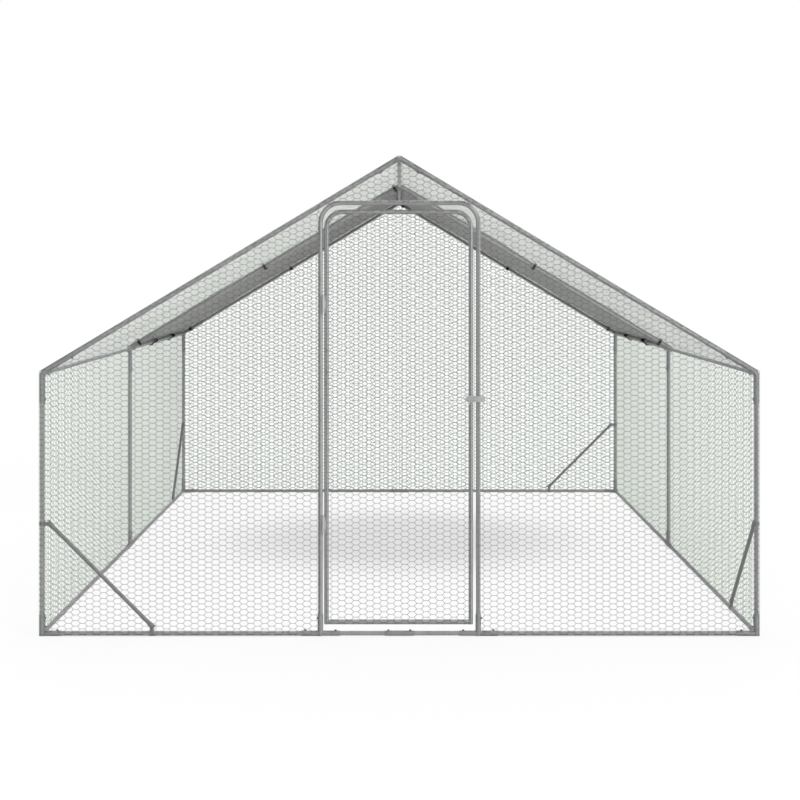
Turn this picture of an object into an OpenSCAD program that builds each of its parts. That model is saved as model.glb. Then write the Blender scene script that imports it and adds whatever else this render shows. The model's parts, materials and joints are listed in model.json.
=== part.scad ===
// Walk-in chicken run: a gabled frame of round steel tube in two equal bays, with wire netting on
// the walls and roof, a fabric cover over the rear bay and a hinged door in the front wall.
// Frame: X is the width, +Y points to the back wall, Z is up, and the origin is on the ground under
// the middle of the run.

/* [Run] */
// Width over the corner connectors
run_w = 3000; // [2400:10:4000]
// Depth over the corner connectors
run_d = 4000; // [3000:10:6000]
// Height of the top of the ridge connectors
run_h = 2000; // [1900:10:2300]
// Slope of the roof, in degrees
roof_pitch = 31; // [26:0.5:33]

/* [Tubes] */
// Outside diameter of the frame tubes
tube_d = 19; // [16:0.5:22]
// Wall of the tubes
tube_wall = 1; // [0.8:0.1:2]
// Outside diameter of the corner braces
brace_d = 16; // [12:0.5:18]
// Distance from a corner post to the foot and to the head of its brace
brace_reach = 457; // [300:1:600]
// Distance of the elbow at each end of a brace from its post or rail
brace_stub = 30; // [28:1:50]

/* [Connectors] */
// Wall of a connector sleeve round its tube
sleeve_wall = 1.4; // [1.2:0.1:2]
// Wall of the cross sleeves at the eaves and the ridge
cross_wall = 1.2; // [1:0.1:1.8]
// Extra radius of a bend or an upright over its sleeves
bend_step = 0.6; // [0.3:0.1:1]
// Centre line radius of the eave and ridge bends
bend_r = 26; // [20:1:36]
// Radial gap between a tube and its sleeve
fit_gap = 0.1; // [0.05:0.05:0.2]
// Gap between the end of a tube and the bottom of its socket
seat_gap = 0.3; // [0.2:0.1:1]
// Length of the eave sleeve on the post
eave_post_leg = 130; // [90:5:180]
// Length of the eave sleeve on the rafter
eave_rafter_leg = 155; // [90:5:200]
// Length of the ridge sleeves on the rafters
ridge_leg = 114; // [80:2:160]
// Length of the eave and ridge sleeves along the run
cross_leg = 114; // [80:2:160]
// Length of the base sleeves
base_leg = 80; // [60:5:120]
// Depth left solid at an eave or ridge corner
corner_seat = 40; // [34:1:60]
// Depth left solid at a base corner
base_seat = 16; // [14:1:24]
// Length of the couplers in the door sill and the back base rail
coupler_l = 125; // [80:5:200]
// Length of the taper at each end of a coupler
coupler_taper = 12; // [6:1:20]

/* [Screws] */
// Distance of a screw from the mouth of its sleeve
screw_inset = 17; // [12:1:25]
// Shank diameter of the screws
screw_d = 4.8; // [4:0.1:6]
// Radial gap round the shank
screw_gap = 0.2; // [0.1:0.05:0.4]
// Width of the hexagon heads, corner to corner
head_d = 9; // [7:0.5:11]
// Height of the hexagon heads
head_h = 4; // [3:0.5:5]
// Length of a screw inside its tube
screw_tip = 3; // [2:0.5:4]

/* [Door] */
// Distance between the centres of the door posts
door_w = 658; // [560:2:760]
// Centre line radius of the upper corners of the door frame
frame_bend = 85; // [60:1:110]
// Gap between the corner of the door frame and the rafter above it
hoop_gap = 3.7; // [2:0.1:8]
// Gap between the door post and the leaf on the hinge side
hinge_gap = 6; // [4:0.5:10]
// Gap between the door post and the leaf on the latch side
latch_gap = 12; // [10:0.5:16]
// Gap between the top bars of the frame and the leaf
top_gap = 19; // [10:1:40]
// Gap between the door sill and the bottom rail of the leaf
sill_gap = 29; // [15:1:60]
// Centre line radius of the upper corners of the leaf
leaf_bend = 65; // [45:1:90]
// Width of the clips that hold the door frame to the rafters
clip_w = 13; // [8:1:24]
// Wall of the clips, the straps and the brace clamps
strap_t = 1.8; // [1.4:0.1:2]
// Gap between a strap or a clip and its tube
strap_gap = 0.15; // [0.1:0.05:0.25]

/* [Hinges] */
// Height of a hinge
hinge_h = 74; // [50:2:100]
// Distance of the hinge pin in front of the door posts
hinge_out = 16; // [15:0.5:20]
// Diameter of the hinge knuckles
knuckle_d = 12; // [10:0.5:14]
// Diameter of the hinge pins
pin_d = 6; // [4:0.5:7]
// Radial gap between a pin and its knuckles
pin_gap = 0.1; // [0.05:0.05:0.15]
// Gap between the knuckles along the pin
knuckle_gap = 0.4; // [0.3:0.1:1]
// Share of a hinge's height that each lug on the post takes
lug_share = 0.28; // [0.2:0.01:0.35]
// Diameter of the head of a pin, as a share of the knuckles'
pin_head_share = 0.85; // [0.7:0.05:0.95]
// Distance of the upper hinge below the top bar of the leaf
upper_hinge_drop = 385; // [250:5:500]
// Distance of the lower hinge above the bottom rail of the leaf
lower_hinge_rise = 405; // [250:5:500]

/* [Latch] */
// Height of the latch above the bottom rail of the leaf
latch_rise = 930; // [800:1:1100]
// Height of the latch case
case_h = 27; // [20:1:40]
// Height of the keeper
keeper_h = 25; // [16:1:30]
// Thickness of the latch plates
plate_t = 2.6; // [2:0.1:4]
// Diameter of the latch bolt
bolt_d = 8; // [6:0.5:10]
// Radial gap between the bolt and its eyes
bolt_gap = 0.1; // [0.05:0.05:0.3]
// Travel of the latch bolt
bolt_travel = 16; // [12:1:24]
// Wall of the eyes round the bolt
eye_wall = 2.4; // [2:0.1:4]
// Length of each eye of the case
eye_l = 7; // [5:0.5:10]
// Reach of the case past the width of the gap beside the leaf, from the middle of the stile
case_lap = 6.25; // [5:0.25:8]
// Gap between the case and the keeper
keeper_gap = 1.5; // [0.8:0.1:3]
// Radial gap between the bolt and the eye of the keeper
keeper_play = 0.3; // [0.2:0.05:0.5]
// Length of the eye of the keeper, as a share of the travel of the bolt
keeper_share = 0.6; // [0.5:0.05:0.75]
// Diameter of the finger lever of the bolt
lever_d = 5; // [4:0.5:7]
// Length of the finger lever below the bolt
lever_l = 20; // [14:1:30]
// Reach of the keeper plate over the netting beside the door
keeper_tail = 28; // [20:1:40]
// Radius of the outer corners of the keeper plate
keeper_corner = 6; // [2:0.5:8]

/* [Netting] */
// Height of a mesh, from one twist to the next
mesh_h = 170; // [120:5:260]
// Distance between neighbouring columns of mesh
mesh_w = 205; // [150:5:300]
// Length of the twisted edges
mesh_twist = 166; // [100:2:170]
// Width of a strand and of the border
strand = 6; // [4:0.5:10]
// Thickness of the netting
net_t = 1.6; // [1:0.1:3]
// Gap between the netting and the widest connector
net_gap = 0.4; // [0.3:0.1:1]
// Height of the lower edge of the netting above the ground
net_lift = 2; // [1:0.5:6]
// Smallest part of a mesh that is left open at a border, as a share of a whole mesh
least_share = 0.04; // [0.02:0.01:0.2]
// Corners cut off the netting of the door, as a share of the bend there
corner_share = 0.6; // [0.4:0.05:0.8]

/* [Cover and ties] */
// Thickness of the fabric cover
cover_t = 1.2; // [0.8:0.1:2]
// Gap between the cover and the roof netting
cover_gap = 0.3; // [0.2:0.1:1]
// Overlap of the cover past the middle of the tubes round it
cover_lap = 6; // [3:0.5:8]
// Diameter of the tie cord
cord_d = 5; // [4:0.5:6]
// Slack of a tie loop above the cover
tie_slack = 4; // [3:0.5:8]
// Diameter of the tie balls
ball_d = 22; // [16:1:23]
// Gap between the tie cord and what it rests on
cord_gap = 0.3; // [0.2:0.1:0.6]
// Inside diameter of the eyelets
eyelet_d = 11; // [10:0.5:13]
// Width of the flange of an eyelet
eyelet_flange = 3; // [2:0.5:5]
// Thickness of the eyelet metal
eyelet_t = 0.7; // [0.5:0.1:1]
// Distance of the upper ties from the ridge, along the rafter
ridge_tie = 30; // [28:1:60]
// Distance of the lower ties from the eave, along the rafter
eave_tie = 60; // [45:1:100]

/* [Hidden] */
$fn = 48;

left = -1;
right = 1;
galvanised = "#8f928f";
zinc = "#a3a5a2";
wire = "#b9bdb6";
fabric = "#7e7f7d";
rubber = "#161616";
dark_steel = "#3b3d3b";

tube_r = tube_d / 2;
sleeve_d = tube_d + 2 * fit_gap + 2 * sleeve_wall;
cross_d = tube_d + 2 * fit_gap + 2 * cross_wall;
bend_d = sleeve_d + 2 * bend_step;
clear = 1;
// Where a screw hole starts, from the middle of its tube, and a base sleeve from its corner
hole_start = tube_r / 2;
rail_start = sleeve_d / 3;

// Places of the three frames, with the whole run centred between its latch and its rear ties
frame_hw = (run_w - sleeve_d) / 2;
frame_hd = (run_d - sleeve_d) / 2;
net_off = bend_d / 2 + net_gap;
net_face = net_off + net_t;
cover_off = net_face + cover_gap;
cover_top = cover_off + cover_t;
bolt_out = net_face + net_gap + plate_t + bolt_gap + bolt_d / 2;
eye_d = bolt_d + 2 * bolt_gap + 2 * eye_wall;
latch_proud = bolt_out + eye_d / 2;
tie_proud = tie_r(sleeve_d / 2, 0) + cord_d / 2;
y_shift = (latch_proud - tie_proud) / 2;
y_front = y_shift - frame_hd;
y_mid = y_shift;
y_back = y_shift + frame_hd;

// Heights of the base, eave and ridge corners, where the centre lines of the tubes cross
slope_c = cos(roof_pitch);
slope_s = sin(roof_pitch);
base_z = sleeve_d / 2;
ridge_z = run_h - bend_d / 2 + bend_r * (1 / slope_c - 1);
eave_z = ridge_z - frame_hw * tan(roof_pitch);
rafter_l = frame_hw / slope_c;
// Half angle of the eave bend, and the straight length that each bend takes from a leg
eave_half = (90 + roof_pitch) / 2;
eave_tangent = bend_r / tan(eave_half);
ridge_tangent = bend_r * tan(roof_pitch);
// Offset of the middle of a bend from the corner that it rounds
eave_cut = bend_r / sin(eave_half) - bend_r;
ridge_cut = bend_r / slope_c - bend_r;
eave_rail_x = frame_hw - eave_cut * cos(eave_half - roof_pitch);
eave_rail_z = eave_z - eave_cut * sin(eave_half - roof_pitch);
// The eave rail seen along the slope: distance from the ridge, and depth below the rafter's line
rail_s = eave_rail_x * slope_c + (ridge_z - eave_rail_z) * slope_s;
rail_n = eave_rail_x * slope_s - (ridge_z - eave_rail_z) * slope_c;

door_hw = door_w / 2;
door_top = ridge_z + frame_bend - (door_hw - frame_bend) * tan(roof_pitch)
  - (frame_bend + tube_d + hoop_gap) / slope_c;
leaf_left = -door_hw + tube_d + hinge_gap;
leaf_right = door_hw - tube_d - latch_gap;
leaf_top = door_top - tube_d - top_gap;
leaf_bottom = base_z + tube_d + sill_gap;
hinge_x = -door_hw + (tube_d + hinge_gap) / 2;
hinge_y = y_front - hinge_out;
hinge_heights = [leaf_top - upper_hinge_drop, leaf_bottom + lower_hinge_rise];
lug_h = (hinge_h - 2 * knuckle_gap) * lug_share;
web_t = 2 * knuckle_d / 3;
latch_z = leaf_bottom + latch_rise;
strap_in = tube_r + strap_gap;
strap_out = strap_in + strap_t;

// Sockets. A socket is [corner, way of the tube, side of the screw head, length of the sleeve, depth
// left solid, outside diameter of the sleeve, where the sleeve starts, and the outside diameter of the
// tube where it isn't a frame tube]
function eave_at(side, y) = [side * frame_hw, y, eave_z];
function ridge_at(y) = [0, y, ridge_z];
function eave_post(side, y) =
  [eave_at(side, y), [0, 0, -1], [-side, 0, 0], eave_post_leg, corner_seat, sleeve_d, eave_tangent];
function eave_rafter(side, y) =
  [eave_at(side, y), [-side * slope_c, 0, slope_s], [-side * slope_s, 0, -slope_c],
   eave_rafter_leg, corner_seat, sleeve_d, eave_tangent];
function eave_rail(side, y, way) =
  [[side * eave_rail_x, y, eave_rail_z], [0, way, 0], [0, 0, -1], cross_leg, corner_seat, cross_d, 0];
function ridge_rafter(side, y) =
  [ridge_at(y), [side * slope_c, 0, -slope_s], [-side * slope_s, 0, -slope_c],
   ridge_leg, corner_seat, sleeve_d, ridge_tangent];
function ridge_pole(y, way) =
  [[0, y, ridge_z - ridge_cut], [0, way, 0], [0, 0, -1], cross_leg, corner_seat, cross_d, 0];
function base_post(x, y, head) =
  [[x, y, base_z], [0, 0, 1], [head, 0, 0], base_leg, base_seat, bend_d, clear - base_z];
function base_rail(x, y, way) =
  [[x, y, base_z], way, [0, 0, 1], base_leg, base_seat, sleeve_d, rail_start];
function coupler_end(y, way) =
  [[0, y, base_z], [way, 0, 0], [0, 0, 1], coupler_l / 2, seat_gap / 2, sleeve_d, 0];
function tube_end(s) = s[0] + s[1] * s[4];
function screw_at(s) = s[0] + s[1] * (s[3] - screw_inset);

// Ties. The loop clears the tube below and the cover above; lift is the depth of the tube's centre
// line below that of the rafters
function tie_top(lift) = cover_top + lift + tie_slack;
function tie_r(r, lift) = (r + cord_gap + tie_top(lift) + cord_d) / 2;
function tie_mid(r, lift) = (tie_top(lift) - r - cord_gap) / 2;
function ball_out(r, lift) =
  sqrt(pow(tie_r(r, lift) + cord_d / 2 + cord_gap + ball_d / 2, 2) - pow(tie_mid(r, lift), 2));
function eyelet_out(r, lift) =
  sqrt(pow(tie_r(r, lift), 2) - pow(cover_off + cover_t / 2 + lift - tie_mid(r, lift), 2));
rafter_ties = [
  [left, y_mid, ridge_tie, sleeve_d / 2, 1], [right, y_back, ridge_tie, sleeve_d / 2, -1],
  for (side = [left, right], row = [[y_mid, 1], [y_back, -1]])
    each [[side, row[0], rafter_l / 2, tube_r, row[1]],
          [side, row[0], rafter_l - eave_tie, sleeve_d / 2, row[1]]]
];
rail_ties = [for (side = [left, right], third = [1, 2]) [side, y_mid + frame_hd * third / 3]];

// Shared shapes

// Turns the Z axis to point along v
module aim(v) {
  rotate([0, acos(v[2] / norm(v)), atan2(v[1], v[0])])
    children();
}

module pipe(p, q, d) {
  translate(p)
    aim(q - p)
      difference() {
        cylinder(d = d, h = norm(q - p));
        translate([0, 0, -clear])
          cylinder(d = d - 2 * tube_wall, h = norm(q - p) + 2 * clear);
      }
}

module screw_hole(s) {
  translate(screw_at(s))
    aim(s[2])
      translate([0, 0, hole_start])
        cylinder(d = screw_d + 2 * screw_gap, h = s[5] / 2);
}

module screw(s) {
  seat = s[5] / 2 + seat_gap / 2;
  tip = (len(s) > 7 ? s[7] / 2 : tube_r) - screw_tip;
  translate(screw_at(s))
    aim(s[2]) {
      translate([0, 0, tip])
        cylinder(d = screw_d, h = seat - tip + head_h / 2);
      translate([0, 0, seat])
        cylinder(d = head_d, h = head_h, $fn = 6);
    }
}

module frame_tube(s, t) {
  color(galvanised)
    difference() {
      pipe(tube_end(s), tube_end(t), tube_d);
      screw_hole(s);
      screw_hole(t);
    }
}

// A connector: its sleeves, any bend given as a child, and the sockets and screw holes cut out
module connector(sockets) {
  difference() {
    union() {
      children();
      for (s = sockets)
        translate(s[0])
          aim(s[1])
            translate([0, 0, s[6]])
              cylinder(d = s[5], h = s[3] - s[6]);
    }
    for (s = sockets) {
      translate(s[0])
        aim(s[1])
          translate([0, 0, s[4] - seat_gap])
            cylinder(d = tube_d + 2 * fit_gap, h = s[3] - s[4] + seat_gap + clear);
      screw_hole(s);
    }
  }
}

// A round bar bent in the XZ plane, from angle a to angle b about the point c
module bent_bar(c, r, d, a, b) {
  translate(c)
    rotate([90, -a, 0])
      mirror([0, 0, 1])
        rotate_extrude(angle = b - a)
          translate([r, 0])
            circle(d = d);
}

// A tube bent in the same way
module bent_tube(c, r, d, a, b) {
  translate(c)
    rotate([90, -a, 0])
      mirror([0, 0, 1])
        rotate_extrude(angle = b - a)
          translate([r, 0])
            difference() {
              circle(d = d);
              circle(d = d - 2 * tube_wall);
            }
}

// A tube bent into a doorway: two uprights from height z and a top bar, with rounded corners
module doorway(x0, x1, z, top, r, d) {
  for (x = [x0, x1])
    pipe([x, y_front, z], [x, y_front, top - r], d);
  bent_tube([x0 + r, y_front, top - r], r, d, 90, 180);
  bent_tube([x1 - r, y_front, top - r], r, d, 0, 90);
  pipe([x0 + r, y_front, top], [x1 - r, y_front, top], d);
}

// The frame of one roof slope: X runs down the slope from the ridge, and Z is square to it
module slope(side) {
  translate([0, 0, ridge_z])
    mirror([side == left ? 1 : 0, 0, 0])
      rotate([0, roof_pitch, 0])
        children();
}

// Posts, rafters, rails and poles

module post(side, y) {
  frame_tube(base_post(side * frame_hw, y, -side), eave_post(side, y));
}

module rafter(side, y) {
  frame_tube(eave_rafter(side, y), ridge_rafter(side, y));
}

module eave_tube(side, y0, y1) {
  frame_tube(eave_rail(side, y0, 1), eave_rail(side, y1, -1));
}

module side_tube(side, y0, y1) {
  frame_tube(base_rail(side * frame_hw, y0, [0, 1, 0]), base_rail(side * frame_hw, y1, [0, -1, 0]));
}

module front_left_post() post(left, y_front);
module front_right_post() post(right, y_front);
module mid_left_post() post(left, y_mid);
module mid_right_post() post(right, y_mid);
module back_left_post() post(left, y_back);
module back_right_post() post(right, y_back);
module front_left_rafter() rafter(left, y_front);
module front_right_rafter() rafter(right, y_front);
module mid_left_rafter() rafter(left, y_mid);
module mid_right_rafter() rafter(right, y_mid);
module back_left_rafter() rafter(left, y_back);
module back_right_rafter() rafter(right, y_back);
module front_left_eave_rail() eave_tube(left, y_front, y_mid);
module front_right_eave_rail() eave_tube(right, y_front, y_mid);
module back_left_eave_rail() eave_tube(left, y_mid, y_back);
module back_right_eave_rail() eave_tube(right, y_mid, y_back);
module front_ridge_pole() frame_tube(ridge_pole(y_front, 1), ridge_pole(y_mid, -1));
module back_ridge_pole() frame_tube(ridge_pole(y_mid, 1), ridge_pole(y_back, -1));
module front_left_side_rail() side_tube(left, y_front, y_mid);
module front_right_side_rail() side_tube(right, y_front, y_mid);
module back_left_side_rail() side_tube(left, y_mid, y_back);
module back_right_side_rail() side_tube(right, y_mid, y_back);

module front_tube(side) {
  frame_tube(base_rail(side * frame_hw, y_front, [-side, 0, 0]),
             base_rail(side * door_hw, y_front, [side, 0, 0]));
}

module left_front_base_rail() front_tube(left);
module right_front_base_rail() front_tube(right);

module sill_tube(side) {
  frame_tube(base_rail(side * door_hw, y_front, [-side, 0, 0]), coupler_end(y_front, side));
}

module left_door_sill() sill_tube(left);
module right_door_sill() sill_tube(right);

module back_tube(side) {
  frame_tube(base_rail(side * frame_hw, y_back, [-side, 0, 0]), coupler_end(y_back, side));
}

module left_back_base_rail() back_tube(left);
module right_back_base_rail() back_tube(right);

// Connectors and their screws

function coupler_sockets(y) = [for (way = [left, right]) coupler_end(y, way)];
function eave_sockets(side, y, ways) =
  [eave_post(side, y), eave_rafter(side, y), for (way = ways) eave_rail(side, y, way)];
function ridge_sockets(y, ways) =
  [for (side = [left, right]) ridge_rafter(side, y), for (way = ways) ridge_pole(y, way)];
function base_sockets(x, y, head, ways) =
  [base_post(x, y, head), for (way = ways) base_rail(x, y, way)];

rows = [[y_front, [1]], [y_mid, [-1, 1]], [y_back, [-1]]];
eave_list = [for (side = [left, right], row = rows) [side, row[0], eave_sockets(side, row[0], row[1])]];
ridge_list = [for (row = rows) [row[0], ridge_sockets(row[0], row[1])]];
base_list = [
  for (side = [left, right]) each [
    base_sockets(side * frame_hw, y_front, -side, [[-side, 0, 0], [0, 1, 0]]),
    base_sockets(side * frame_hw, y_mid, -side, [[0, -1, 0], [0, 1, 0]]),
    base_sockets(side * frame_hw, y_back, -side, [[-side, 0, 0], [0, -1, 0]]),
    base_sockets(side * door_hw, y_front, side, [[-1, 0, 0], [1, 0, 0]])
  ]
];

module rail_couplers() {
  color(zinc)
    for (y = [y_front, y_back])
      difference() {
        translate([-coupler_l / 2, y, base_z])
          rotate([0, 90, 0])
            rotate_extrude()
              polygon([
                [tube_r + fit_gap, 0], [tube_r + fit_gap + sleeve_wall / 2, 0],
                [sleeve_d / 2, coupler_taper], [sleeve_d / 2, coupler_l - coupler_taper],
                [tube_r + fit_gap + sleeve_wall / 2, coupler_l], [tube_r + fit_gap, coupler_l]
              ]);
        for (s = coupler_sockets(y))
          screw_hole(s);
      }
}

module eave_connectors() {
  color(zinc)
    for (e = eave_list)
      connector(e[2])
        mirror([e[0] == right ? 1 : 0, 0, 0])
          bent_bar([bend_r - frame_hw, e[1], eave_z - eave_tangent], bend_r, bend_d,
                   90 + roof_pitch, 180);
}

module ridge_connectors() {
  color(zinc)
    for (e = ridge_list)
      connector(e[1])
        bent_bar([0, e[0], ridge_z - bend_r / slope_c], bend_r, bend_d, 90 - roof_pitch, 90 + roof_pitch);
}

module base_connectors() {
  color(zinc)
    for (sockets = base_list)
      connector(sockets);
}

module connector_screws() {
  color(dark_steel) {
    for (e = eave_list, s = e[2])
      screw(s);
    for (e = ridge_list, s = e[1])
      screw(s);
    for (sockets = base_list, s = sockets)
      screw(s);
    for (y = [y_front, y_back], s = coupler_sockets(y))
      screw(s);
    for (b = braces) {
      screw(brace_foot(b));
      screw(brace_head(b));
    }
  }
}

// Corner braces. A brace is [place of the post, way along the wall]
braces = [
  [[-frame_hw, y_front, base_z], [1, 0, 0]], [[frame_hw, y_front, base_z], [0, 1, 0]],
  [[frame_hw, y_back, base_z], [-1, 0, 0]], [[-frame_hw, y_back, base_z], [0, -1, 0]]
];
up = [0, 0, 1];
clamp_w = brace_d + strap_t;
clamp_bore = brace_d + 2 * fit_gap;
clamp_d = clamp_bore + 2 * strap_t;
elbow_d = clamp_d + strap_t / 2;
clamp_seat = elbow_d / 3;
clamp_leg = elbow_d;
clamp_screw = brace_stub + screw_inset;

// The elbows at the foot and at the head of a brace, each with its screw on the outer side
function brace_foot(b) = [b[0] + b[1] * brace_reach, up, b[1], clamp_screw, 0, elbow_d, 0, brace_d];
function brace_head(b) = [b[0] + up * brace_reach, b[1], up, clamp_screw, 0, elbow_d, 0, brace_d];
function brace_way(b) = (up - b[1]) / sqrt(2);
function elbow_at(s) = s[0] + s[1] * brace_stub;

module corner_braces() {
  color(galvanised)
    for (b = braces, inset = [brace_way(b) * clamp_seat])
      pipe(elbow_at(brace_foot(b)) + inset, elbow_at(brace_head(b)) - inset, brace_d);
}

// A ring on a frame tube, and an elbow square to it with a socket for the end of a brace
module brace_clamp(s, way) {
  difference() {
    union() {
      translate(s[0])
        aim(s[2])
          cylinder(d = bend_d, h = clamp_w, center = true);
      translate(s[0])
        aim(s[1])
          cylinder(d = brace_d, h = brace_stub);
      translate(elbow_at(s)) {
        sphere(d = elbow_d);
        aim(way)
          cylinder(d = clamp_d, h = clamp_leg);
      }
    }
    translate(s[0])
      aim(s[2])
        cylinder(d = tube_d + 2 * fit_gap, h = 2 * clamp_w, center = true);
    translate(elbow_at(s) + way * (clamp_seat - seat_gap))
      aim(way)
        cylinder(d = clamp_bore, h = clamp_leg);
    screw_hole(s);
  }
}

module brace_clamps() {
  color(zinc)
    for (b = braces) {
      brace_clamp(brace_foot(b), brace_way(b));
      brace_clamp(brace_head(b), -brace_way(b));
    }
}

// Door frame and leaf

module door_frame_hoop() {
  foot = base_z + base_seat;
  color(galvanised)
    difference() {
      doorway(-door_hw, door_hw, foot, door_top, frame_bend, tube_d);
      for (side = [left, right])
        screw_hole(base_post(side * door_hw, y_front, side));
    }
}

// Clips that grip a rafter and the rounded corner of the door frame below it
module door_frame_clips() {
  reach = tube_d + hoop_gap;
  s = ((door_hw - frame_bend) + (frame_bend + reach) * slope_s) / slope_c;
  color(zinc)
    for (side = [left, right])
      difference() {
        slope(side)
          translate([s - clip_w / 2, y_front - strap_out, -reach])
            cube([clip_w, 2 * strap_out, reach]);
        slope(side)
          translate([0, y_front, 0])
            rotate([0, 90, 0])
              cylinder(r = strap_in, h = 2 * s);
        mirror([side == left ? 1 : 0, 0, 0])
          bent_bar([door_hw - frame_bend, y_front, door_top - frame_bend], frame_bend, 2 * strap_in, 0, 90);
      }
}

module door_leaf_hoop() {
  color(galvanised)
    doorway(leaf_left, leaf_right, leaf_bottom - tube_r, leaf_top, leaf_bend, tube_d);
}

// The bottom rail, with its ends coped to fit the stiles
module door_leaf_bottom_rail() {
  color(galvanised)
    difference() {
      pipe([leaf_left, y_front, leaf_bottom], [leaf_right, y_front, leaf_bottom], tube_d);
      for (x = [leaf_left, leaf_right])
        translate([x, y_front, leaf_bottom - tube_d])
          cylinder(r = strap_in, h = 2 * tube_d);
    }
}

// Hinges

// A quarter of a strap round a tube at the origin, from angle a on
module quarter_strap(a) {
  intersection() {
    circle(r = strap_out);
    rotate(a)
      square(2 * strap_out);
  }
}

// Half of a hinge in plan, about its pin: side is where its tube stands
module hinge_plan(side) {
  tube = [side * (tube_d + hinge_gap) / 2, hinge_out];
  difference() {
    union() {
      circle(d = knuckle_d);
      rotate(atan2(tube[1], tube[0]))
        translate([0, -web_t / 2])
          square([norm(tube) - tube_r, web_t]);
      translate(tube)
        quarter_strap(side == left ? -90 : 180);
    }
    circle(d = pin_d + 2 * pin_gap);
    translate(tube)
      circle(r = strap_in);
  }
}

module hinge_strap_plan(side) {
  tube = [side * (tube_d + hinge_gap) / 2, hinge_out];
  difference() {
    translate(tube)
      quarter_strap(side == left ? -90 : 180);
    translate(tube)
      circle(r = strap_in);
  }
}

module hinge_post_straps() {
  color(zinc)
    for (z = hinge_heights)
      translate([hinge_x, hinge_y, z]) {
        translate([0, 0, -hinge_h / 2])
          linear_extrude(hinge_h)
            hinge_strap_plan(left);
        for (lug = [-hinge_h / 2, hinge_h / 2 - lug_h])
          translate([0, 0, lug])
            linear_extrude(lug_h)
              hinge_plan(left);
      }
}

module hinge_leaf_straps() {
  barrel_h = hinge_h - 2 * lug_h - 2 * knuckle_gap;
  color(zinc)
    for (z = hinge_heights)
      translate([hinge_x, hinge_y, z]) {
        translate([0, 0, -hinge_h / 2])
          linear_extrude(hinge_h)
            hinge_strap_plan(right);
        translate([0, 0, -barrel_h / 2])
          linear_extrude(barrel_h)
            hinge_plan(right);
      }
}

module hinge_pins() {
  cap_h = pin_d / 2;
  color(galvanised)
    for (z = hinge_heights)
      translate([hinge_x, hinge_y, z - hinge_h / 2]) {
        cylinder(d = pin_d, h = hinge_h + seat_gap + cap_h / 2);
        translate([0, 0, hinge_h + seat_gap])
          cylinder(d = knuckle_d * pin_head_share, h = cap_h);
      }
}

// Latch. Its plates stand in front of the netting, and its bolt slides along X

plate_back = net_face + net_gap;
plate_front = plate_back + plate_t;
lever_room = bolt_travel + lever_d + 2 * seat_gap;
case_right = latch_gap + case_lap;
case_l = 2 * eye_l + lever_room;
// The rib that joins a latch plate to its strap
rib_w = tube_r - 1.5 * strap_t;
rib_root = tube_r / 2;

// A strap and a plate in plan, about their tube: side is where the strap grips
module latch_plan(side, x0, x1) {
  difference() {
    union() {
      translate([x0, -plate_front])
        square([x1 - x0, plate_t]);
      quarter_strap(side == right ? -90 : 180);
      translate([side == right ? strap_t : -tube_r + strap_t / 2, -plate_front])
        square([rib_w, plate_front - rib_root]);
    }
    circle(r = strap_in);
  }
}

// An eye for the bolt, from x on, standing on the front of a plate
module eye(x, l) {
  translate([x, -bolt_out, 0])
    rotate([0, 90, 0])
      cylinder(d = eye_d, h = l);
  translate([x, -bolt_out, -eye_d / 2])
    cube([l, bolt_out - plate_front + plate_t / 2, eye_d]);
}

// The outer end of a plate of height h, at x, with rounded corners
module round_end(x, h, r) {
  for (side = [-1, 1])
    translate([x - r, -plate_front, side * (h / 2 - r)])
      rotate([-90, 0, 0])
        cylinder(r = r, h = plate_t);
  translate([x - 2 * r, -plate_front, r - h / 2])
    cube([2 * r, plate_t, h - 2 * r]);
}

module bolt_bore(gap) {
  translate([-2 * case_l, -bolt_out, 0])
    rotate([0, 90, 0])
      cylinder(d = bolt_d + 2 * gap, h = 4 * case_l);
}

module latch_case() {
  color(zinc)
    translate([leaf_right, y_front, latch_z])
      difference() {
        union() {
          translate([0, 0, -case_h / 2])
            linear_extrude(case_h)
              latch_plan(right, case_right - case_l, case_right);
          eye(case_right - case_l, eye_l);
          eye(case_right - eye_l, eye_l);
        }
        bolt_bore(bolt_gap);
      }
}

// The bolt at rest, drawn back, with its tip just inside the eye next to the keeper
module latch_bolt() {
  tip = case_right - clear;
  tail = case_right - case_l + eye_l / 2 - bolt_travel;
  color(galvanised)
    translate([leaf_right, y_front - bolt_out, latch_z]) {
      translate([tail, 0, 0])
        rotate([0, 90, 0])
          cylinder(d = bolt_d, h = tip - tail);
      translate([case_right - case_l + eye_l + seat_gap + lever_d / 2, 0, -bolt_d / 2 - lever_l])
        cylinder(d = lever_d, h = bolt_d / 2 + lever_l);
    }
}

module latch_keeper() {
  start = case_right + keeper_gap - latch_gap - tube_d;
  color(zinc)
    translate([door_hw, y_front, latch_z])
      difference() {
        union() {
          translate([0, 0, -keeper_h / 2])
            linear_extrude(keeper_h)
              latch_plan(left, start, keeper_tail - keeper_corner);
          round_end(keeper_tail, keeper_h, keeper_corner);
          eye(start, bolt_travel * keeper_share);
        }
        bolt_bore(keeper_play);
      }
}

// Netting: a flat sheet with six-sided mesh, cut off at a border along its outline

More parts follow.
